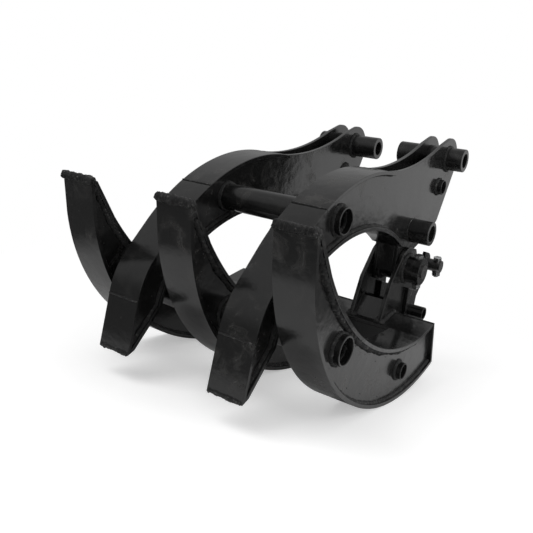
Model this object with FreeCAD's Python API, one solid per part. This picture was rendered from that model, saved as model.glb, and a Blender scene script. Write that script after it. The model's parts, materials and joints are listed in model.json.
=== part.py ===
import FreeCAD, Part
import math
import os

V = FreeCAD.Vector
os.makedirs("parts", exist_ok=True)

# Log grapple: two upper tines and three lower tines that pass between each other,
# hinged on two stations. Millimetres, +Z up, +X to the side, tips towards -Y.
# Outlines are drawn in the closed position around the lower tine tips at Y 0.

# ---- tine sections
WRAP_WIDTH = 100.0
WRAP_T = 10.0
SIDE_T = 12.0
SIDE_OFFSET = 32.0
UPPER_X = 175.0
LOWER_X = 312.0

# ---- lower tine outline (Y, Z)
LOW_TIP = (0.0, 406.0)
LOW_TIP_INNER = (20.0, 396.0)
LOW_BACK_TOP = (-5.0, 305.0)
LOW_BACK_R = 500.0
LOW_BELLY_TURN = 45.0
LOW_BELLY_R = 710.0
LOW_END_Y = 735.0
LOW_THROAT_AT = (278.4, 33.4)
LOW_THROAT_AIM = (0.6, 0.8)
LOW_THROAT_R = 730.0
LOW_THROAT_TURN = 63.7
BEAM_FRONT_Y = 612.0
BEAM_REAR_Y = 718.0
BEAM_TOP_Z = -105.0
WEB_BOTTOM_Z = -205.0

# ---- upper tine outline (Y, Z)
UP_TIP = (-62.0, -2.0)
UP_TIP_INNER = (-38.0, 3.0)
UP_TIP_LEN = 141.0
UP_TIP_ANGLE = 69.0
UP_KNEE_R = 200.0
UP_SLOPE = 36.0
UP_SLOPE_LEN = 90.0
UP_CROWN_R = 577.0
UP_CROWN_END_Y = 640.0
UP_SADDLE = (845.0, 335.0)
UP_NECK = (1035.0, 357.0)
EAR_C = (1112.0, 286.0)
EAR_R = 79.0
UP_REAR_LOW = (1060.0, 95.0)
UP_HEEL = (1015.0, 72.0)
UP_HEEL_IN = (862.0, 48.0)
HINGE_LUG_R = 56.0
ARCH_TOP = (400.0, 235.0)
ARCH_R = 510.0
ARCH_REAR_Y = 745.0
ARCH_FRONT_Y = 220.0
NECK_MID = (102.0, 138.0)
NECK_LOW = (66.0, 79.0)
TIP_PLATE_Z = 125.0
CROWN_PLATE_Y = 275.0
CROWN_PLATE_END_Y = 655.0

# ---- tubes (Y, Z), outside and inside radius, reach past the side plates
UP_TUBE_AT = (358.0, 296.0)
LOW_TUBE_AT = (128.0, 90.0)
TUBE_R = 36.5
TUBE_BORE = 31.3
TUBE_PROUD = 20.0
LASH_UP_AT = (1034.0, 220.0)
LASH_LOW_AT = (481.0, -149.0)
LASH_R = 24.15
LASH_BORE = 20.4
LASH_PROUD = 20.0

# ---- machine pin bosses
ARM_PIN_AT = (1103.5, 300.0)
ARM_BOSS_R = 37.5
ARM_BORE_R = 22.5
ARM_BOSS_IN = 43.0
ARM_BOSS_OUT = 270.0
LINK_PIN_AT = (841.0, 125.0)
LINK_BOSS_R = 37.5
LINK_BORE_R = 25.0
LINK_BOSS_IN = 43.0
LINK_BOSS_OUT = 279.0

# ---- jaw hinge station
HINGE_AT = (793.0, 15.0)
HINGE_PIN_R = 22.44
HINGE_BORE_R = 22.5
BUSH_R = 29.0
HINGE_TUBE_R = 43.0
HINGE_SIDE_GAP = 2.5
BARREL_PROUD = 0.5
BRACKET_T = 12.0
BRACKET_EYE_R = 66.0
BRACKET_TOE_Y = 616.0
BRACKET_SHOULDER = (680.0, 5.0)
PIN_BOSS_R = 42.0
PIN_BOSS_LEN = 52.0
PIN_END_PROUD = 5.0
PIN_HEAD_R = 30.0
PIN_HEAD_T = 7.0
LINK_SWEEP = 60.0
LINK_SWEEP_GAP = 4.0
ROD_PIN_AT = (962.0, -28.0)
ROD_PIN_R = 20.0
ROD_LUG_R = 37.0
ROD_PIN_LEN = 64.0
FOOT_TUBE_AT = (819.0, -140.0)
FOOT_TUBE_R = 21.0
FOOT_TUBE_BORE = 17.0
FOOT_TUBE_IN = 18.0
FOOT_TUBE_OUT = 50.0
FOOT_LOBE_R = 38.0
FOOT_LUG_FRONT = (796.0, -52.0)
FOOT_LUG_REAR = (872.0, -92.0)
GUSSET_FOOT_Y = 632.0
GUSSET_TOP = (684.0, -56.0)
GUSSET_T = 10.0

# ---- keeper bolts
BOLT_R = 8.0
BOLT_HEX = 24.0
BOLT_HEAD_T = 10.0
NUT_T = 13.0
BOLT_TAIL = 4.0
HINGE_BOLT_IN = 16.5
ROD_BOLT_IN = 15.0

# ---- standing position: tilt about X, then drop onto the floor
REST_TILT = 17.02
ORIGIN_Y = 630.8


def polar(c, r, a):
    a = math.radians(a)
    return (c[0] + r * math.cos(a), c[1] + r * math.sin(a))


def angle_of(c, p):
    return math.degrees(math.atan2(p[1] - c[1], p[0] - c[0]))


def outline(start, steps):
    """steps: a point draws a line, a pair of points draws an arc through the first."""
    edges, here = [], start
    for s in steps:
        if isinstance(s[0], tuple):
            edges.append(Part.Arc(V(0, *here), V(0, *s[0]), V(0, *s[1])).toShape())
            here = s[1]
        else:
            if math.dist(here, s) > 1e-6:
                edges.append(Part.makeLine(V(0, *here), V(0, *s)))
            here = s
    if math.dist(here, start) > 1e-6:
        edges.append(Part.makeLine(V(0, *here), V(0, *start)))
    return Part.Face(Part.Wire(edges))


def arc(c, r, a0, a1):
    return (polar(c, r, (a0 + a1) / 2), polar(c, r, a1))


def clockwise(a0, a1):
    """The end angle a1 as reached from a0 by turning clockwise."""
    return a0 - (a0 - a1) % 360


def slab(face, x0, x1):
    f = face.copy()
    f.translate(V(x0, 0, 0))
    return f.extrude(V(x1 - x0, 0, 0))


def rod(at, r, x0, x1):
    return Part.makeCylinder(r, x1 - x0, V(x0, at[0], at[1]), V(1, 0, 0))


def tube(at, r, bore, x0, x1):
    return rod(at, r, x0, x1).cut(rod(at, bore, x0 - 1, x1 + 1))


def band_region(y0, z0, y1, z1):
    return Part.makeBox(2000, y1 - y0, z1 - z0, V(-1000, y0, z0))


def tangent(c, r, p, side):
    """Point where the line from p touches the circle; side +1 or -1 picks which."""
    d = math.dist(c, p)
    return polar(c, r, angle_of(c, p) + side * math.degrees(math.acos(r / d)))


def mirror(shape):
    return shape.mirror(V(0, 0, 0), V(1, 0, 0))


# ---- lower tine outline
belly0 = polar((LOW_BACK_TOP[0] + LOW_BACK_R, LOW_BACK_TOP[1]), LOW_BACK_R, 180 + 90 - LOW_BELLY_TURN)
back_c = (LOW_BACK_TOP[0] + LOW_BACK_R, LOW_BACK_TOP[1])
belly_c = polar(belly0, LOW_BELLY_R, 90 - LOW_BELLY_TURN)
belly_a0 = 270 - LOW_BELLY_TURN
belly_a1 = 270 + math.degrees(math.asin((LOW_END_Y - belly_c[0]) / LOW_BELLY_R))
low_end = polar(belly_c, LOW_BELLY_R, belly_a1)
throat_c = (LOW_THROAT_AT[0] + LOW_THROAT_AIM[0] * LOW_THROAT_R,
            LOW_THROAT_AT[1] + LOW_THROAT_AIM[1] * LOW_THROAT_R)
throat_a1 = 270 - LOW_THROAT_TURN
throat_a0 = 270 - math.degrees(math.asin((throat_c[0] - BEAM_FRONT_Y) / LOW_THROAT_R))
throat0 = polar(throat_c, LOW_THROAT_R, throat_a0)
low_outline = outline(LOW_TIP, [
    LOW_BACK_TOP,
    arc(back_c, LOW_BACK_R, 180, 270 - LOW_BELLY_TURN),
    arc(belly_c, LOW_BELLY_R, belly_a0, belly_a1),
    (BEAM_REAR_Y, BEAM_TOP_Z), (BEAM_FRONT_Y, BEAM_TOP_Z), throat0,
    arc(throat_c, LOW_THROAT_R, throat_a0, throat_a1),
    LOW_TIP_INNER])

# ---- upper tine outline
knee0 = polar(UP_TIP, UP_TIP_LEN, UP_TIP_ANGLE)
knee_c = polar(knee0, UP_KNEE_R, UP_TIP_ANGLE - 90)
slope0 = polar(knee_c, UP_KNEE_R, UP_SLOPE + 90)
crown0 = polar(slope0, UP_SLOPE_LEN, UP_SLOPE)
crown_c = polar(crown0, UP_CROWN_R, UP_SLOPE - 90)
crown_a1 = math.degrees(math.acos((UP_CROWN_END_Y - crown_c[0]) / UP_CROWN_R))
ear0 = tangent(EAR_C, EAR_R, UP_NECK, -1)
ear1 = tangent(EAR_C, EAR_R, UP_REAR_LOW, 1)
ear_a0, ear_a1 = angle_of(EAR_C, ear0), angle_of(EAR_C, ear1)
lug_rear = tangent(HINGE_AT, HINGE_LUG_R, UP_HEEL_IN, -1)
arch_c = (ARCH_TOP[0], ARCH_TOP[1] - ARCH_R)
arch_rear_a = math.degrees(math.acos((ARCH_REAR_Y - arch_c[0]) / ARCH_R))
arch_rear = polar(arch_c, ARCH_R, arch_rear_a)
lug_front = tangent(HINGE_AT, HINGE_LUG_R, arch_rear, 1)
arch_front_a = math.degrees(math.acos((ARCH_FRONT_Y - arch_c[0]) / ARCH_R))
lug_a0 = angle_of(HINGE_AT, lug_rear)
lug_a1 = clockwise(lug_a0, angle_of(HINGE_AT, lug_front))
up_outline = outline(UP_TIP, [
    knee0,
    arc(knee_c, UP_KNEE_R, UP_TIP_ANGLE + 90, UP_SLOPE + 90),
    crown0,
    arc(crown_c, UP_CROWN_R, UP_SLOPE + 90, crown_a1),
    (UP_SADDLE, UP_NECK),
    ear0,
    arc(EAR_C, EAR_R, ear_a0, ear_a1),
    UP_REAR_LOW, UP_HEEL, UP_HEEL_IN, lug_rear,
    arc(HINGE_AT, HINGE_LUG_R, lug_a0, lug_a1),
    arch_rear,
    arc(arch_c, ARCH_R, arch_rear_a, arch_front_a),
    (NECK_MID, NECK_LOW),
    UP_TIP_INNER])

parts = {}


def ring_of(face):
    inner = face.makeOffset2D(-WRAP_T, 2)
    return face.cut(inner), inner


# ---- lower jaw tines: wraps run past the side plates, the rear is closed by the beam
low_band, low_core = ring_of(low_outline)
rear_dir = (LOW_END_Y - BEAM_REAR_Y, low_end[1] - BEAM_TOP_Z)
rear_n = math.hypot(*rear_dir)
rear_in = (rear_dir[1] * WRAP_T / rear_n, -rear_dir[0] * WRAP_T / rear_n)
rear_face = outline((BEAM_REAR_Y, BEAM_TOP_Z), [
    low_end, (low_end[0] + rear_in[0], low_end[1] + rear_in[1]),
    (BEAM_REAR_Y + rear_in[0], BEAM_TOP_Z + rear_in[1])])
top_face = outline((BEAM_FRONT_Y, BEAM_TOP_Z), [
    (BEAM_REAR_Y + rear_in[0], BEAM_TOP_Z),
    (BEAM_REAR_Y + rear_in[0] * 2, BEAM_TOP_Z - WRAP_T), (BEAM_FRONT_Y, BEAM_TOP_Z - WRAP_T)])
half_wrap = WRAP_WIDTH / 2
beam_x = LOWER_X + half_wrap
parts["beam_rear_plate"] = slab(rear_face, -beam_x, beam_x)
parts["beam_top_plate"] = slab(top_face, -beam_x, beam_x).cut(parts["beam_rear_plate"])
beam = parts["beam_rear_plate"].fuse(parts["beam_top_plate"])

rear_foot = polar(low_end, WRAP_T, math.degrees(math.atan2(rear_dir[1], rear_dir[0])))
rear_zone = outline((BEAM_REAR_Y, BEAM_TOP_Z), [
    rear_foot, (rear_foot[0] + rear_in[0], rear_foot[1] + rear_in[1]),
    (BEAM_REAR_Y + rear_in[0], BEAM_TOP_Z + rear_in[1])])
wrap_solid = slab(low_band, -half_wrap, half_wrap).cut(slab(rear_zone, -beam_x, beam_x))
wrap_solid = wrap_solid.cut(parts["beam_top_plate"])


def keep_solids(shape, least=200.0):
    solids = [s for s in shape.Solids if s.Volume > least]
    return solids[0] if len(solids) == 1 else Part.makeCompound(solids)


def side_pair(core, x):
    lo = slab(core, x - SIDE_OFFSET - SIDE_T / 2, x - SIDE_OFFSET + SIDE_T / 2)
    hi = slab(core, x + SIDE_OFFSET - SIDE_T / 2, x + SIDE_OFFSET + SIDE_T / 2)
    return lo, hi


low_tube_hole = rod(LOW_TUBE_AT, TUBE_R, -1000, 1000)
lash_low_hole = rod(LASH_LOW_AT, LASH_R, -1000, 1000)
throat_keep = outline((LOW_TIP_INNER[0] - 8, LOW_TIP_INNER[1] + 20), [
    (9.0, 380.0), (9.0, 330.0), (120.0, 100.0), (330.0, -120.0), (500.0, -170.0),
    (BEAM_FRONT_Y, -170.0), (BEAM_FRONT_Y, 500.0)])
throat_box = slab(throat_keep, -1000, 1000)
throat_strip = keep_solids(wrap_solid.common(throat_box))
back_strip = keep_solids(wrap_solid.cut(throat_strip).cut(
    band_region(BEAM_FRONT_Y, -180.0, 900, 0)))
for name, x in (("right", LOWER_X), ("centre", 0.0), ("left", -LOWER_X)):
    back = back_strip.copy()
    back.translate(V(x, 0, 0))
    throat = throat_strip.copy()
    throat.translate(V(x, 0, 0))
    parts["lower_" + name + "_back_wrap"] = back
    parts["lower_" + name + "_throat_wrap"] = throat
    lo, hi = side_pair(low_core, x)
    holes = [low_tube_hole] + ([lash_low_hole] if x else [])
    for tag, s in (("a", lo), ("b", hi)):
        for h in holes:
            s = s.cut(h)
        parts["lower_" + name + "_side_" + tag] = keep_solids(s.cut(beam))

# ---- upper jaw tines
up_band = ring_of(up_outline)[0]
up_wrap = slab(up_band, -half_wrap, half_wrap)
tip_zone = band_region(-200, -100, 400, TIP_PLATE_Z)
over_line = outline((-36.0, 24.0), [
    (8.0, 100.0), (60.0, 150.0), (200.0, 262.0), (340.0, 300.0), (CROWN_PLATE_END_Y, 280.0),
    (CROWN_PLATE_END_Y, 500.0), (-400.0, 500.0), (-400.0, -100.0), (-50.0, -100.0), (-50.0, 0.0)])
over = up_wrap.common(slab(over_line, -1000, 1000))
under_keep = outline((-50.0, -100.0), [
    (-50.0, 0.0), (-36.0, 24.0), (8.0, 100.0), (60.0, 150.0), (200.0, 262.0), (340.0, 300.0),
    (560.0, 260.0), (ARCH_REAR_Y, 200.0), arch_rear, (ARCH_REAR_Y - 60.0, -100.0)])
under = up_wrap.common(slab(under_keep, -1000, 1000))
mid_zone = band_region(-400, TIP_PLATE_Z, CROWN_PLATE_Y, 600)
crown_zone = band_region(CROWN_PLATE_Y, -100, 900, 600)
pieces = {
    "tip_wrap": over.common(tip_zone),
    "knee_wrap": over.common(mid_zone),
    "crown_wrap": over.common(crown_zone),
    "arch_wrap": under,
}
used_band = over.fuse(under)
up_holes = [rod(UP_TUBE_AT, TUBE_R, -1000, 1000), rod(LASH_UP_AT, LASH_R, -1000, 1000),
            rod(ARM_PIN_AT, ARM_BOSS_R, -1000, 1000), rod(LINK_PIN_AT, LINK_BOSS_R, -1000, 1000),
            rod(HINGE_AT, HINGE_TUBE_R, -1000, 1000)]
for name, x in (("right", UPPER_X), ("left", -UPPER_X)):
    for tag, shape in pieces.items():
        s = keep_solids(shape)
        s.translate(V(x, 0, 0))
        parts["upper_" + name + "_" + tag] = s
    lo, hi = side_pair(up_outline, x)
    band_here = used_band.copy()
    band_here.translate(V(x, 0, 0))
    for tag, s in (("a", lo), ("b", hi)):
        s = s.cut(band_here)
        for h in up_holes:
            s = s.cut(h)
        parts["upper_" + name + "_side_" + tag] = keep_solids(s)

# ---- a plate closes each upper box between its side plates, down to the hinge
neck_zone = outline((ARCH_REAR_Y, 200.0), [
    arch_rear, (ARCH_REAR_Y - 60.0, HINGE_AT[1]), HINGE_AT, (HINGE_AT[0], 200.0)])
neck = keep_solids(slab(up_band.common(neck_zone), UPPER_X - SIDE_OFFSET + SIDE_T / 2,
                        UPPER_X + SIDE_OFFSET - SIDE_T / 2))
parts["hinge_neck_plates"] = Part.makeCompound([neck, mirror(neck)])

# ---- cross tubes and lashing tubes
side_face = SIDE_OFFSET + SIDE_T / 2
up_reach = UPPER_X + side_face + TUBE_PROUD
low_reach = LOWER_X + side_face + TUBE_PROUD
parts["upper_cross_tube"] = tube(UP_TUBE_AT, TUBE_R, TUBE_BORE, -up_reach, up_reach)
parts["lower_cross_tube"] = tube(LOW_TUBE_AT, TUBE_R, TUBE_BORE, -low_reach, low_reach)
for at, x, name in ((LASH_UP_AT, UPPER_X, "upper"), (LASH_LOW_AT, LOWER_X, "lower")):
    t = tube(at, LASH_R, LASH_BORE, x - side_face - LASH_PROUD / 2, x + side_face + LASH_PROUD)
    parts[name + "_lashing_tube_right"] = t
    parts[name + "_lashing_tube_left"] = mirror(t)

# ---- machine pin bosses
arm = tube(ARM_PIN_AT, ARM_BOSS_R, ARM_BORE_R, ARM_BOSS_IN, ARM_BOSS_OUT)
link = tube(LINK_PIN_AT, LINK_BOSS_R, LINK_BORE_R, LINK_BOSS_IN, LINK_BOSS_OUT)
parts["arm_pin_boss_right"], parts["arm_pin_boss_left"] = arm, mirror(arm)
parts["link_pin_boss_right"], parts["link_pin_boss_left"] = link, mirror(link)

# ---- hinge station: barrel and bush turn with the upper jaw between two bracket plates
barrel_x0 = UPPER_X - side_face - BARREL_PROUD
barrel_x1 = UPPER_X + side_face + BARREL_PROUD
inner_x = barrel_x0 - HINGE_SIDE_GAP - BRACKET_T
outer_x = barrel_x1 + HINGE_SIDE_GAP
outer_face = outer_x + BRACKET_T
barrel = tube(HINGE_AT, HINGE_TUBE_R, BUSH_R, barrel_x0, barrel_x1)
bush = tube(HINGE_AT, BUSH_R, HINGE_BORE_R, barrel_x0, barrel_x1)
parts["hinge_barrel_right"], parts["hinge_barrel_left"] = barrel, mirror(barrel)
parts["hinge_bush_right"], parts["hinge_bush_left"] = bush, mirror(bush)

# ---- bracket plates stand on the beam; the top edge is relieved for the link boss
eye_front = tangent(HINGE_AT, BRACKET_EYE_R, BRACKET_SHOULDER, -1)
link_d = math.dist(HINGE_AT, LINK_PIN_AT)
link_a = angle_of(HINGE_AT, LINK_PIN_AT)
relief_r = LINK_BOSS_R + LINK_SWEEP_GAP
relief = rod(HINGE_AT, link_d + relief_r, -1000, 1000).cut(rod(HINGE_AT, link_d - relief_r, -1000, 1000))
wedge = outline(HINGE_AT, [polar(HINGE_AT, 400, link_a - LINK_SWEEP), arc(
    HINGE_AT, 400, link_a - LINK_SWEEP, link_a + 60)])
relief = relief.common(slab(wedge, -1000, 1000)).fuse(
    rod(polar(HINGE_AT, link_d, link_a - LINK_SWEEP), relief_r, -1000, 1000))


def hull(a, ra, b, rb, x0, x1):
    """Plate with a round end on each of two centres."""
    d = math.dist(a, b)
    base = angle_of(a, b)
    lean = math.degrees(math.acos((ra - rb) / d))
    q = [polar(a, ra, base + lean), polar(b, rb, base + lean),
         polar(b, rb, base - lean), polar(a, ra, base - lean)]
    body = slab(outline(q[0], q[1:]), x0, x1)
    return body.fuse(rod(a, ra, x0, x1)).fuse(rod(b, rb, x0, x1))


def bracket(x0, with_lug):
    x1 = x0 + BRACKET_T
    foot = outline(eye_front, [
        BRACKET_SHOULDER, (BRACKET_TOE_Y, BEAM_TOP_Z), (BEAM_REAR_Y, BEAM_TOP_Z),
        low_end, FOOT_TUBE_AT, HINGE_AT])
    s = slab(foot, x0, x1).fuse(hull(HINGE_AT, BRACKET_EYE_R, FOOT_TUBE_AT, FOOT_LOBE_R, x0, x1))
    if with_lug:
        s = s.fuse(hull(FOOT_TUBE_AT, FOOT_LOBE_R, ROD_PIN_AT, ROD_LUG_R, x0, x1))
        s = s.fuse(hull(HINGE_AT, BRACKET_EYE_R, ROD_PIN_AT, ROD_LUG_R, x0, x1))
    s = s.cut(relief).cut(beam)
    s = s.cut(rod(HINGE_AT, HINGE_PIN_R, x0 - 1, x1 + 1))
    s = s.cut(rod(FOOT_TUBE_AT, FOOT_TUBE_R, x0 - 1, x1 + 1))
    if with_lug:
        s = s.cut(rod(ROD_PIN_AT, ROD_PIN_R, x0 - 1, x1 + 1))
    return keep_solids(s.removeSplitter())


def foot_lug(x0):
    """Doubler welded on a bracket's outboard face around the foot tube."""
    x1 = x0 + BRACKET_T
    face = outline(FOOT_LUG_FRONT, [
        polar(FOOT_TUBE_AT, FOOT_LOBE_R, 180), FOOT_TUBE_AT,
        polar(FOOT_TUBE_AT, FOOT_LOBE_R, -30), FOOT_LUG_REAR])
    s = slab(face, x0, x1).fuse(rod(FOOT_TUBE_AT, FOOT_LOBE_R, x0, x1)).cut(beam)
    return keep_solids(s.cut(rod(FOOT_TUBE_AT, FOOT_TUBE_R, x0 - 1, x1 + 1)).removeSplitter())


outer = bracket(outer_x, True)
inner = bracket(inner_x, False)
parts["bracket_outer_right"], parts["bracket_outer_left"] = outer, mirror(outer)
parts["bracket_inner_right"], parts["bracket_inner_left"] = inner, mirror(inner)
lugs = [foot_lug(inner_x + BRACKET_T), foot_lug(outer_face)]
parts["foot_lugs"] = Part.makeCompound(lugs + [mirror(s) for s in lugs])
lean = math.radians(angle_of((GUSSET_FOOT_Y, BEAM_TOP_Z), GUSSET_TOP))
gusset_back = (GUSSET_T * math.sin(lean), -GUSSET_T * math.cos(lean))
gusset_face = outline((GUSSET_FOOT_Y, BEAM_TOP_Z), [
    GUSSET_TOP, (GUSSET_TOP[0] + gusset_back[0], GUSSET_TOP[1] + gusset_back[1]),
    (GUSSET_FOOT_Y + GUSSET_T / math.sin(lean), BEAM_TOP_Z)])
gusset = slab(gusset_face, inner_x + BRACKET_T, outer_x)
parts["bracket_gusset_right"], parts["bracket_gusset_left"] = gusset, mirror(gusset)
web = Part.makeBox(LOWER_X - 2 * half_wrap, WRAP_T, BEAM_TOP_Z - WRAP_T - WEB_BOTTOM_Z,
                   V(half_wrap, BEAM_FRONT_Y, WEB_BOTTOM_Z))
parts["beam_web_right"], parts["beam_web_left"] = web, mirror(web)
foot_tube = tube(FOOT_TUBE_AT, FOOT_TUBE_R, FOOT_TUBE_BORE,
                 inner_x - FOOT_TUBE_IN, outer_face + BRACKET_T + FOOT_TUBE_OUT)
parts["foot_tube_right"], parts["foot_tube_left"] = foot_tube, mirror(foot_tube)


# ---- pins and keepers, held in the lower jaw
def hexagon(x, y, z, height):
    r = BOLT_HEX / 2 / math.cos(math.pi / 6)
    pts = [V(x + r * math.cos(k * math.pi / 3), y + r * math.sin(k * math.pi / 3), z) for k in range(7)]
    return Part.Face(Part.makePolygon(pts)).extrude(V(0, 0, height))


def keeper(x, at, reach):
    """Bolt from above with its nut below; reach is the half grip."""
    shank = Part.makeCylinder(BOLT_R, 2 * reach + NUT_T + BOLT_TAIL,
                              V(x, at[0], at[1] - reach - NUT_T - BOLT_TAIL))
    bolt = shank.fuse(hexagon(x, at[0], at[1] + reach, BOLT_HEAD_T))
    nut = hexagon(x, at[0], at[1] - reach - NUT_T, NUT_T).cut(shank)
    return shank, bolt, nut


boss_x1 = outer_face + PIN_BOSS_LEN
rod_x1 = outer_x + ROD_PIN_LEN
boss = tube(HINGE_AT, PIN_BOSS_R, HINGE_PIN_R, outer_face, boss_x1)
hinge_pin = rod(HINGE_AT, HINGE_PIN_R, inner_x - PIN_HEAD_T, boss_x1 + PIN_END_PROUD)
hinge_pin = hinge_pin.fuse(rod(HINGE_AT, PIN_HEAD_R, inner_x - PIN_HEAD_T, inner_x))
rod_pin = rod(ROD_PIN_AT, ROD_PIN_R, outer_x, rod_x1)
bolts, nuts = [], []
flat = PIN_BOSS_R + 1.0
hinge_bolt_x = boss_x1 - HINGE_BOLT_IN
rod_bolt_x = rod_x1 - ROD_BOLT_IN
shank, bolt, nut = keeper(hinge_bolt_x, HINGE_AT, flat)
bolts.append(bolt)
nuts.append(nut)
boss = boss.cut(shank)
seat_r = BOLT_HEX / 2 + 3
seats = Part.makeCylinder(seat_r, 2 * flat, V(hinge_bolt_x, HINGE_AT[0], HINGE_AT[1] - flat))
seats = seats.cut(rod(HINGE_AT, PIN_BOSS_R, 0, 400)).cut(shank)
boss = boss.fuse(seats).removeSplitter()
hinge_pin = hinge_pin.cut(shank)
shank, bolt, nut = keeper(rod_bolt_x, ROD_PIN_AT, ROD_PIN_R + 1.0)
bolts.append(bolt)
nuts.append(nut)
flats = Part.makeCylinder(seat_r - 1, 2 * ROD_PIN_R + 2.0,
                          V(rod_bolt_x, ROD_PIN_AT[0], ROD_PIN_AT[1] - ROD_PIN_R - 1.0))
rod_pin = rod_pin.fuse(flats).cut(shank).removeSplitter()
parts["hinge_pin_boss_right"], parts["hinge_pin_boss_left"] = boss, mirror(boss)
parts["hinge_pin_right"], parts["hinge_pin_left"] = hinge_pin, mirror(hinge_pin)
parts["rod_pin_right"], parts["rod_pin_left"] = rod_pin, mirror(rod_pin)
parts["keeper_bolts"] = Part.makeCompound(bolts + [mirror(b) for b in bolts])
parts["keeper_nuts"] = Part.makeCompound(nuts + [mirror(n) for n in nuts])

# ---- stand it on the floor and write one file per piece
floor_z = belly_c[1] - LOW_BELLY_R
for name, shape in parts.items():
    s = shape.copy()
    s.rotate(V(0, belly_c[0], belly_c[1]), V(1, 0, 0), REST_TILT)
    s.translate(V(0, -ORIGIN_Y, -floor_z))
    s.exportStep("parts/" + name + ".step")
print(len(parts), "pieces")
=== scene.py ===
# Log grapple: softened plates, weld beads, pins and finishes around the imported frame.
import json
import math
import random

import bmesh
import bpy
from mathutils import Matrix, Vector
from mathutils.bvhtree import BVHTree


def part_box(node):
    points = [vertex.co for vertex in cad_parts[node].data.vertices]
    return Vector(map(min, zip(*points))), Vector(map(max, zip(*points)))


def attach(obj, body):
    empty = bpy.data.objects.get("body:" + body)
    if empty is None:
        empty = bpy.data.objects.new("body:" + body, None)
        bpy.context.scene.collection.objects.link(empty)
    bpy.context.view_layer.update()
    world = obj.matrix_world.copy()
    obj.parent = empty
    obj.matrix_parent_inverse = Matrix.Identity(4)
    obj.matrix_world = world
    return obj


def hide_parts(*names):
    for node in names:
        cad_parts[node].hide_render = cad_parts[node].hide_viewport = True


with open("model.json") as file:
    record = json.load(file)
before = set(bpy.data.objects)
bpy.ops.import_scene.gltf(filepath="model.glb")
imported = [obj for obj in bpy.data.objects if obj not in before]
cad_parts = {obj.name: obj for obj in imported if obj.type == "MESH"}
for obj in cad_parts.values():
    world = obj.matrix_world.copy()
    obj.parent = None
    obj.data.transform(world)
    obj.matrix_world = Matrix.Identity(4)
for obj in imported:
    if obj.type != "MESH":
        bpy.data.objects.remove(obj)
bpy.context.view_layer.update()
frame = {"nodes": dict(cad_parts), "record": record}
nodes = frame["nodes"]
bodyOf = {n: b for b, names in frame["record"]["behaviour"]["bodies"].items() for n in names}
print("frame loaded:", len(nodes), "nodes")

# ---- camera
cameraView = {
    "at": (0.9072, -1.6066, 0.5860),
    "turn": (80.517, -9.694, 33.922),  # degrees
    "lens": 42.4,
}
cameraData = bpy.data.cameras.new("camera")
cameraData.lens = cameraView["lens"]
camera = bpy.data.objects.new("camera", cameraData)
bpy.context.scene.collection.objects.link(camera)
camera.location = cameraView["at"]
camera.rotation_euler = [math.radians(a) for a in cameraView["turn"]]
bpy.context.scene.camera = camera


# ---- finishes
class Value:
    def __init__(self, graph, link):
        self.graph, self.link = graph, link

    def sum(self, operation, *others):
        return self.graph.add("Math", {"operation": operation}, dict(enumerate(others)))

    def __add__(self, other):
        return self.sum("ADD", self, other)

    def __radd__(self, other):
        return self.sum("ADD", other, self)

    def __sub__(self, other):
        return self.sum("SUBTRACT", self, other)

    def __rsub__(self, other):
        return self.sum("SUBTRACT", other, self)

    def __mul__(self, other):
        return self.sum("MULTIPLY", self, other)

    def __rmul__(self, other):
        return self.sum("MULTIPLY", other, self)

    def __pow__(self, other):
        return self.sum("POWER", self, other)


class Finish:
    def __init__(self, name):
        self.material = bpy.data.materials.new(name)
        self.material.use_nodes = True
        self.tree = self.material.node_tree
        self.tree.nodes.clear()
        self.place = self.add("TexCoord", out="Object")

    def add(self, kind, settings=None, sockets=None, out=0):
        node = self.tree.nodes.new("ShaderNode" + kind)
        for key, value in (settings or {}).items():
            if key == "stops":
                ramp = node.color_ramp
                while len(ramp.elements) < len(value):
                    ramp.elements.new(0.5)
                for stop, (at, shade) in zip(ramp.elements, value):
                    stop.position = at
                    stop.color = (shade, shade, shade, 1)
            else:
                setattr(node, key, value)
        for key, value in (sockets or {}).items():
            if isinstance(value, Value):
                self.tree.links.new(value.link, node.inputs[key])
            else:
                node.inputs[key].default_value = value
        return Value(self, node.outputs[out]) if node.outputs else None

    def cloud(self, scale, detail=3.0, rough=0.5, low=0.0, high=1.0, warp=0.0):
        grain = self.add("TexNoise", None, {"Vector": self.place, "Scale": scale, "Detail": detail,
                                            "Roughness": rough, "Distortion": warp}, "Fac")
        return self.add("MapRange", {"clamp": True}, {0: grain, 1: low, 2: high})

    def blend(self, share, first, second):
        return self.add("Mix", {"data_type": "RGBA"}, {0: share, 6: first, 7: second}, 2)

    def bump(self, height, distance, under=None):
        sockets = {"Height": height, "Distance": distance, "Strength": 1.0}
        if under:
            sockets["Normal"] = under
        return self.add("Bump", None, sockets)

    def done(self, **sockets):
        named = {k.replace("_", " "): v for k, v in sockets.items()}
        shader = self.add("BsdfPrincipled", None, named)
        self.add("OutputMaterial", None, {"Surface": shader})
        return self.material


def grey(level, tint=(1.0, 1.0, 1.0)):
    return (level * tint[0], level * tint[1], level * tint[2], 1)


paint = {"colour": 0.0095, "dust": 0.05, "scuff": 0.12, "rough": 0.11, "roughDust": 0.45,
         "wave": 0.0020, "dent": 0.0006, "peel": 0.00005}


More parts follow.
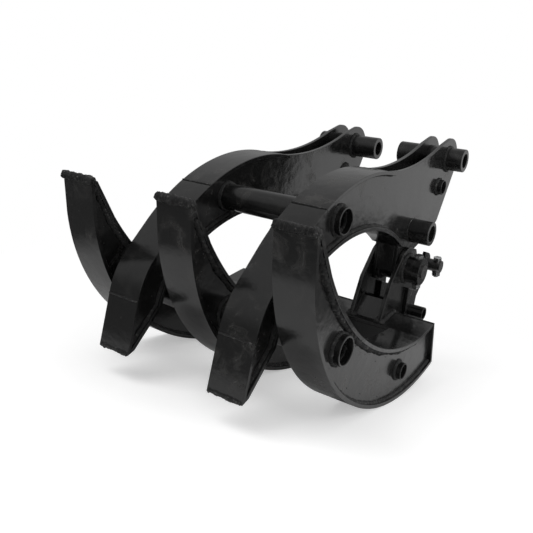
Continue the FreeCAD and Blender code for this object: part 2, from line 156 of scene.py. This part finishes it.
def glossBlack():
    f = Finish("glossBlack")
    drift = f.cloud(4.0, 3.0, 0.55, 0.38, 0.7)
    smudge = f.cloud(19.0, 6.0, 0.66, 0.5, 0.74, 0.8)
    specks = f.cloud(150.0, 3.0, 0.7, 0.62, 0.74)
    scuff = f.cloud(46.0, 5.0, 0.75, 0.6, 0.72, 1.2) * specks
    dust = smudge * drift
    dusty = f.blend(dust, grey(paint["colour"]), grey(paint["dust"], (1.0, 0.97, 0.93)))
    colour = f.blend(scuff, dusty, grey(paint["scuff"], (1.0, 0.98, 0.95)))
    rough = dust * (paint["roughDust"] - paint["rough"]) + f.cloud(9.0, 2.0) * 0.1 + scuff * 0.3 + paint["rough"]
    wave = f.bump(f.cloud(7.0, 1.0), paint["wave"])
    dent = f.bump(f.cloud(38.0, 2.0), paint["dent"], wave)
    peel = f.bump(f.cloud(420.0, 1.0), paint["peel"], dent)
    return f.done(Base_Color=colour, Roughness=rough, Normal=peel, IOR=1.52)


# glint is the brightness of the painted highlight specks blended into the weld colour
bead = {"colour": 0.012, "glint": 0.16, "rough": 0.2, "scale": 330.0, "height": 0.0016}


def weldPaint():
    f = Finish("weldPaint")
    grit = f.cloud(bead["scale"], 4.0, 0.7, 0.3, 0.7)
    # painted glints: light specks in the weld colour stand in for highlights, painted highlight rather than the
    # bead's own colour
    paintedGlints = f.cloud(130.0, 4.0, 0.7, 0.58, 0.7)
    colour = f.blend(paintedGlints, grey(bead["colour"]), grey(bead["glint"], (1.0, 0.98, 0.95)))
    rough = f.cloud(90.0, 3.0) * 0.35 + bead["rough"]
    return f.done(Base_Color=colour, Roughness=rough, Normal=f.bump(grit, bead["height"]), IOR=1.52)


pin = {"colour": 0.2, "stain": 0.07, "rough": 0.3}


def pinSteel():
    f = Finish("pinSteel")
    stain = f.cloud(40.0, 4.0, 0.6, 0.42, 0.66)
    colour = f.blend(stain, grey(pin["colour"]), grey(pin["stain"], (1.0, 0.96, 0.92)))
    rough = stain * 0.2 + pin["rough"]
    return f.done(Base_Color=colour, Roughness=rough, Normal=f.bump(f.cloud(300.0, 2.0), 0.0001), Metallic=1.0)


zinc = {"colour": 0.62, "stain": 0.35, "rough": 0.2}


def zincPlate():
    f = Finish("zincPlate")
    stain = f.cloud(70.0, 4.0, 0.6, 0.45, 0.7)
    colour = f.blend(stain, grey(zinc["colour"], (0.98, 1.0, 1.0)), grey(zinc["stain"]))
    rough = stain * 0.25 + zinc["rough"]
    return f.done(Base_Color=colour, Roughness=rough, Normal=f.bump(f.cloud(500.0, 2.0), 0.0001), Metallic=1.0)


finishes = {"black": glossBlack(), "weld": weldPaint(), "pin": pinSteel(), "zinc": zincPlate()}
print("finishes made")


# ---- working helpers
def onlySelect(*objects):
    bpy.ops.object.select_all(action="DESELECT")
    for o in objects:
        o.select_set(True)
    bpy.context.view_layer.objects.active = objects[0]


def camelName(node):
    first, *rest = node.split("_")
    return first + "".join(word.capitalize() for word in rest)


def applyAll(piece):
    onlySelect(piece)
    for m in list(piece.modifiers):
        bpy.ops.object.modifier_apply(modifier=m.name)


def dress(piece, finish, body):
    piece.data.materials.clear()
    piece.data.materials.append(finishes[finish])
    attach(piece, body)
    return piece


# ---- every plate, tube and pin gets its edges softened
edges = {
    "plate": {"width": 0.0016, "segments": 2},
    "tube": {"width": 0.0018, "segments": 2},
    "fastener": {"width": 0.0008, "segments": 2},
}
sortOf = {"keeper_bolts": "fastener", "keeper_nuts": "fastener"}
finishOf = {"keeper_bolts": "zinc", "keeper_nuts": "zinc", "rod_pin_right": "pin", "rod_pin_left": "pin",
            "hinge_pin_right": "pin", "hinge_pin_left": "pin", "hinge_bush_right": "pin",
            "hinge_bush_left": "pin"}


def softened(node):
    piece = bpy.data.objects.new(camelName(node), nodes[node].data.copy())
    bpy.context.scene.collection.objects.link(piece)
    onlySelect(piece)
    bpy.ops.object.mode_set(mode="EDIT")
    bpy.ops.mesh.select_all(action="SELECT")
    bpy.ops.mesh.remove_doubles(threshold=0.00002)
    bpy.ops.mesh.dissolve_limited(angle_limit=math.radians(0.5))
    bpy.ops.mesh.customdata_custom_splitnormals_clear()
    bpy.ops.object.mode_set(mode="OBJECT")
    sort = edges[sortOf.get(node, "tube" if "tube" in node or "boss" in node else "plate")]
    bevel = piece.modifiers.new("bevel", "BEVEL")
    bevel.width, bevel.segments = sort["width"], sort["segments"]
    bevel.limit_method, bevel.angle_limit = "ANGLE", math.radians(35)
    bevel.miter_outer = "MITER_ARC"
    applyAll(piece)
    bpy.ops.object.shade_smooth()
    flat = piece.modifiers.new("flat", "WEIGHTED_NORMAL")
    flat.keep_sharp, flat.weight = False, 80
    applyAll(piece)
    dress(piece, finishOf.get(node, "black"), bodyOf[node])
    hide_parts(node)
    return piece


pieces = {node: softened(node) for node in nodes}
print("edges softened:", len(pieces), "pieces")


# ---- weld beads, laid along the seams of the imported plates
def surfaceOf(node):
    mesh = nodes[node].data
    return BVHTree.FromPolygons([v.co for v in mesh.vertices], [p.vertices for p in mesh.polygons])


def borderRuns(node, faceX, touching, reach=0.0006):
    shape = bmesh.new()
    shape.from_mesh(nodes[node].data)
    bmesh.ops.remove_doubles(shape, verts=shape.verts, dist=0.00002)
    flat = {f for f in shape.faces
            if abs(f.normal.x) > 0.99 and abs(f.calc_center_median().x - faceX) < 0.0003}
    trees = [surfaceOf(n) for n in touching]
    nextTo = {}
    for e in shape.edges:
        if sum(f in flat for f in e.link_faces) != 1:
            continue
        mid = (e.verts[0].co + e.verts[1].co) / 2
        if any(tree.find_nearest(mid, reach)[0] is not None for tree in trees):
            a, b = e.verts[0].index, e.verts[1].index
            nextTo.setdefault(a, []).append(b)
            nextTo.setdefault(b, []).append(a)
    shape.verts.ensure_lookup_table()
    runs, seen = [], set()
    for start in sorted(nextTo, key=lambda v: (len(nextTo[v]), v)):
        if start in seen:
            continue
        run, here = [start], start
        seen.add(start)
        while True:
            ahead = [v for v in nextTo[here] if v not in seen]
            if not ahead:
                break
            here = ahead[0]
            seen.add(here)
            run.append(here)
        closed = len(run) > 2 and start in nextTo[here]
        runs.append(([shape.verts[i].co.copy() for i in run], closed))
    shape.free()
    return [r for r in runs if len(r[0]) > 1]


def evenly(points, step, closed):
    if closed:
        points = points + [points[0]]
    out, left = [points[0].copy()], step
    for a, b in zip(points, points[1:]):
        length, gone = (b - a).length, 0.0
        while length - gone > left:
            gone += left
            out.append(a.lerp(b, gone / length))
            left = step
        left -= length - gone
    return out


def ring(x, centre, radius, count=48):
    y, z = centre
    turn = [2 * math.pi * k / count for k in range(count)]
    return [Vector((x, y + radius * math.cos(t), z + radius * math.sin(t))) for t in turn], True


weldKinds = {
    "neat": {"radius": 0.0042, "ripple": 0.12, "uneven": 0.12, "lumps": 0.0016, "grain": 0.006, "round": 2},
    "heavy": {"radius": 0.0062, "ripple": 0.12, "uneven": 0.22, "lumps": 0.0034, "grain": 0.006, "round": 3},
    "rough": {"radius": 0.0082, "ripple": 0.14, "uneven": 0.32, "lumps": 0.0075, "grain": 0.0048, "round": 4},
    "tip": {"radius": 0.0088, "ripple": 0.15, "uneven": 0.22, "lumps": 0.0075, "grain": 0.0055, "round": 4},
    "flat": {"radius": 0.0026, "ripple": 0.12, "uneven": 0.20, "lumps": 0.0012, "grain": 0.005, "round": 2},
    "slim": {"radius": 0.0020, "ripple": 0.10, "uneven": 0.10, "lumps": 0.0004, "grain": 0.005, "round": 2},
}
weldPitch = 0.0045
weldStep = 0.0015
rng = random.Random(11)


def weldBead(name, runs, kind, body):
    look = weldKinds[kind]
    line = bpy.data.curves.new(name, "CURVE")
    line.dimensions = "3D"
    line.bevel_depth = look["radius"]
    line.bevel_resolution = look["round"]
    line.use_fill_caps = True
    for points, closed in runs:
        path = evenly(points, weldStep, closed)
        if len(path) < 4:
            continue
        spline = line.splines.new("POLY")
        spline.points.add(len(path) - 1)
        spline.use_cyclic_u = closed
        swell, phase = 0.0, rng.random()
        for k, (point, at) in enumerate(zip(spline.points, path)):
            swell = 0.86 * swell + 0.14 * rng.uniform(-1.8, 1.8) * 2
            wave = abs(math.sin(math.pi * (k * weldStep / weldPitch + phase)))
            point.co = (*at, 1)
            point.radius = 1 - look["ripple"] + 2 * look["ripple"] * wave + look["uneven"] * swell
            if not closed and k in (0, len(path) - 1):
                point.radius *= 0.5
    piece = bpy.data.objects.new(name, line)
    bpy.context.scene.collection.objects.link(piece)
    onlySelect(piece)
    bpy.ops.object.convert(target="MESH")
    lumps = bpy.data.textures.new(name, "CLOUDS")
    lumps.noise_scale, lumps.noise_depth = look["grain"], 2
    shake = piece.modifiers.new("lumps", "DISPLACE")
    shake.texture, shake.strength, shake.mid_level = lumps, look["lumps"], 0.5
    applyAll(piece)
    bpy.ops.object.shade_smooth()
    return dress(piece, "weld", body)


drops = {"perMetre": 42, "near": 0.009, "far": 0.028, "small": 0.0006, "big": 0.0016}


def spatter(name, runs, plates, body):
    trees = [surfaceOf(p) for p in plates]
    shape = bmesh.new()
    for points, closed in runs:
        path = evenly(points, 1 / drops["perMetre"], closed)
        for at in path:
            turn, reach = rng.uniform(0, 2 * math.pi), rng.uniform(drops["near"], drops["far"])
            spot = at + Vector((0, math.cos(turn), math.sin(turn))) * reach
            size = rng.uniform(drops["small"], drops["big"])
            if any(tree.find_nearest(spot, 0.0002)[0] is not None for tree in trees):
                bmesh.ops.create_icosphere(shape, subdivisions=1, radius=size, matrix=Matrix.Translation(spot))
    mesh = bpy.data.meshes.new(name)
    shape.to_mesh(mesh)
    shape.free()
    piece = bpy.data.objects.new(name, mesh)
    bpy.context.scene.collection.objects.link(piece)
    onlySelect(piece)
    bpy.ops.object.shade_smooth()
    return dress(piece, "weld", body)


def sideFaces(node):
    lo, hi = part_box(node)
    return (lo.x, hi.x)


def outward(node, centreX):
    lo, hi = sideFaces(node)
    return lo if (lo + hi) / 2 < centreX else hi


def middle(node):
    lo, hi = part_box(node)
    return (lo + hi) / 2


beadCount = 0
tines = {
    "lower": {"body": "lower_jaw", "names": ("right", "centre", "left"),
              "welds": {"back_wrap": "heavy", "throat_wrap": "rough"}},
    "upper": {"body": "upper_jaw", "names": ("right", "left"),
              "welds": {"tip_wrap": "neat", "knee_wrap": "neat", "crown_wrap": "neat", "arch_wrap": "heavy"}},
}
for jaw, spec in tines.items():
    for name in spec["names"]:
        stem = jaw + "_" + name + "_"
        for wrap, kind in spec["welds"].items():
            centreX = middle(stem + wrap).x
            runs = []
            for side in ("side_a", "side_b"):
                runs += borderRuns(stem + side, outward(stem + side, centreX), [stem + wrap])
            weldBead(camelName(stem + wrap + "_welds"), runs, kind, spec["body"])
            beadCount += len(runs)
            if kind in ("rough", "heavy"):
                spatter(camelName(stem + wrap + "_spatter"), runs, [stem + "side_a", stem + "side_b"], spec["body"])
print("plate welds:", beadCount, "runs")


# ---- rough caps on the tips and seams across the upper wraps
def edgeAcross(node, towards, near=None):  # the line furthest towards a direction
    spots = [v.co.copy() for v in nodes[node].data.vertices]
    if near:
        tree = surfaceOf(near)
        spots = [c for c in spots if tree.find_nearest(c, 0.0004)[0] is not None]
    far = max(c.dot(towards) for c in spots)
    line = [c for c in spots if c.dot(towards) > far - 0.0006]
    return min(line, key=lambda c: c.x), max(line, key=lambda c: c.x)


caps = {
    "lower": {"outside": "back_wrap", "inside": "throat_wrap", "towards": (0, 0, 1), "rows": (0.12, 0.5, 0.88),
              "kind": "tip", "sink": 0.003, "inset": -0.001},
    "upper": {"outside": "tip_wrap", "inside": "arch_wrap", "towards": (0, 0, -1), "rows": (0.2, 0.8),
              "kind": "heavy", "sink": 0.003, "inset": 0.003},
}
for jaw, cap in caps.items():
    towards = Vector(cap["towards"])
    for name in tines[jaw]["names"]:
        stem = jaw + "_" + name + "_"
        outside = edgeAcross(stem + cap["outside"], towards)
        inside = edgeAcross(stem + cap["inside"], towards)
        runs = []
        for share in cap["rows"]:
            a, b = (outside[k].lerp(inside[k], share) - towards * cap["sink"] for k in (0, 1))
            a.x, b.x = a.x + cap["inset"], b.x - cap["inset"]
            runs.append(([a, b], False))
        weldBead(camelName(stem + "tip_cap"), runs, cap["kind"], tines[jaw]["body"])
seams = (("tip_wrap", "knee_wrap"), ("knee_wrap", "crown_wrap"))
frontUp = Vector((0, -1, 1)).normalized()
for name in tines["upper"]["names"]:
    stem = "upper_" + name + "_"
    runs = [([*edgeAcross(stem + a, frontUp, stem + b)], False) for a, b in seams]
    weldBead(camelName(stem + "seams"), runs, "flat", "upper_jaw")
print("tip caps and seams laid")

# ---- rings of weld where tubes and bosses pass through plates
ringJoints = []
for jaw, tube in (("upper", "upper_cross_tube"), ("lower", "lower_cross_tube")):
    for name in tines[jaw]["names"]:
        ringJoints.append((tube, (jaw + "_" + name + "_side_a", jaw + "_" + name + "_side_b")))
for hand in ("right", "left"):
    for tube in ("arm_pin_boss_", "link_pin_boss_", "upper_lashing_tube_"):
        ringJoints.append((tube + hand, ("upper_" + hand + "_side_a", "upper_" + hand + "_side_b")))
    ringJoints.append(("lower_lashing_tube_" + hand, ("lower_" + hand + "_side_a", "lower_" + hand + "_side_b")))


for tube, plates in ringJoints:
    lo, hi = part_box(tube)
    centre, radius = ((lo.y + hi.y) / 2, (lo.z + hi.z) / 2), (hi.z - lo.z) / 2
    midX = sum(middle(p).x for p in plates) / 2
    runs = [ring(outward(p, midX), centre, radius) for p in plates]
    tag = plates[0].split("_")[1]
    kind = "slim" if tube.startswith("link_pin") else "heavy"  # the brackets swing past within 4 mm
    weldBead(camelName(tube + "_" + tag + "_ring_welds"), runs, kind, bodyOf[tube])

# ---- welds of the hinge stations and the beam
for hand, sign in (("right", 1), ("left", -1)):
    plates = ["bracket_outer_" + hand, "bracket_inner_" + hand]
    runs = []
    for plate in plates:
        for faceX in sideFaces(plate):
            runs += borderRuns(plate, faceX, ["beam_top_plate"])
    weldBead(camelName("bracket_foot_welds_" + hand), runs, "rough", "lower_jaw")
    runs = []
    for faceX in sideFaces("bracket_gusset_" + hand):
        runs += borderRuns("bracket_gusset_" + hand, faceX, plates)
    weldBead(camelName("gusset_welds_" + hand), runs, "neat", "lower_jaw")
    for item, kind, walls in (("hinge_pin_boss_", "heavy", [plates[0]]), ("rod_pin_", "heavy", [plates[0]]),
                              ("foot_tube_", "heavy", plates)):
        lo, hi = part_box(item + hand)
        centre, radius = ((lo.y + hi.y) / 2, (lo.z + hi.z) / 2), (hi.y - lo.y) / 2
        outer = [max(sideFaces(w), key=lambda x: x * sign) for w in walls]
        weldBead(camelName(item + "weld_" + hand), [ring(x, centre, radius) for x in outer], kind, "lower_jaw")
    lo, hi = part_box("hinge_barrel_" + hand)
    centre, radius = ((lo.y + hi.y) / 2, (lo.z + hi.z) / 2), (hi.z - lo.z) / 2
    inside = [min(sideFaces("upper_" + hand + "_side_" + t), key=lambda x: abs(x - (lo.x + hi.x) / 2)) for t in "ab"]
    weldBead(camelName("barrel_welds_" + hand), [ring(x, centre, radius) for x in inside], "heavy", "upper_jaw")
print("hinge station welds laid")

# ---- light and floor
studio = {
    "floor": 0.8, "floorGlow": 0.42, "fadeFrom": 0.9, "fadeTo": 1.5,
    "litTo": 0.86, "darkFrom": 1.05, "dark": 0.14,
    "light": 0.5,
    "sky": ((0.0, 0.12), (0.08, 0.16), (0.3, 0.38), (0.7, 0.5), (1.0, 0.35)),
    "window": 0.88,
}
bpy.ops.mesh.primitive_plane_add(size=14, location=(0, 0, 0))
floor = bpy.context.active_object
floor.name = "floor"
floorLook = Finish("floorPale")
ray = floorLook.add("LightPath", out="Is Camera Ray")
glossy = floorLook.add("LightPath", out="Is Glossy Ray")
away = floorLook.add("VectorMath", {"operation": "LENGTH"}, {0: floorLook.place}, "Value")
fade = floorLook.add("MapRange", {"clamp": True}, {0: away, 1: studio["fadeFrom"], 2: studio["fadeTo"]})
unlit = floorLook.add("MapRange", {"clamp": True}, {0: away, 1: studio["litTo"], 2: studio["darkFrom"]})
diffuse = floorLook.add("BsdfDiffuse", None, {"Color": grey(studio["floor"])})
seen = floorLook.add("Emission", None, {"Color": grey(1.0), "Strength": ray * studio["floorGlow"]})
near = floorLook.add("AddShader", None, {0: diffuse, 1: seen})
white = floorLook.add("Emission", None, {"Color": grey(1.0), "Strength": 1.0})
shade = floorLook.add("Emission", None, {"Color": grey(1.0), "Strength": studio["dark"]})
shown = floorLook.add("MixShader", None, {0: ray * fade, 1: near, 2: white})
mirrored = floorLook.add("MixShader", None, {0: glossy * unlit, 1: shown, 2: shade})
floorLook.add("OutputMaterial", None, {"Surface": mirrored})
floor.data.materials.append(floorLook.material)

world = bpy.data.worlds.new("studio")
bpy.context.scene.world = world
world.use_nodes = True
tree = world.node_tree
tree.nodes.clear()
worldLook = Finish.__new__(Finish)
worldLook.tree = tree
ray = worldLook.add("LightPath", out="Is Camera Ray")
glossy = worldLook.add("LightPath", out="Is Glossy Ray")
direction = worldLook.add("TexCoord", out="Generated")
height = worldLook.add("SeparateXYZ", None, {0: direction}, "Z")
side = worldLook.add("SeparateXYZ", None, {0: direction}, "X")
sky = worldLook.add("ValToRGB", {"stops": studio["sky"]}, {"Fac": height})
bright = worldLook.add("MapRange", {"clamp": True}, {0: side, 1: -0.1, 2: 0.5})
room = sky + bright * (studio["window"] - sky)
strength = glossy * room + (1 - glossy) * studio["light"]
strength = ray * 1.0 + (1 - ray) * strength
back = worldLook.add("Background", None, {"Color": grey(1.0), "Strength": strength})
worldLook.add("OutputWorld", None, {"Surface": back})

lamps = [
    {"name": "keyLamp", "at": (-1.2, -2.2, 3.2), "size": 2.2, "power": 60},
    {"name": "sideLamp", "at": (3.0, 0.6, 1.6), "size": 2.0, "power": 40},
]
for lamp in lamps:
    data = bpy.data.lights.new(lamp["name"], "AREA")
    data.size, data.energy = lamp["size"], lamp["power"]
    o = bpy.data.objects.new(lamp["name"], data)
    o.location = lamp["at"]
    o.rotation_euler = (Vector((0, 0, 0.35)) - o.location).to_track_quat("-Z", "Y").to_euler()
    o.visible_glossy = False
    bpy.context.scene.collection.objects.link(o)
bpy.context.scene.view_settings.view_transform = "Standard"
print("studio set")
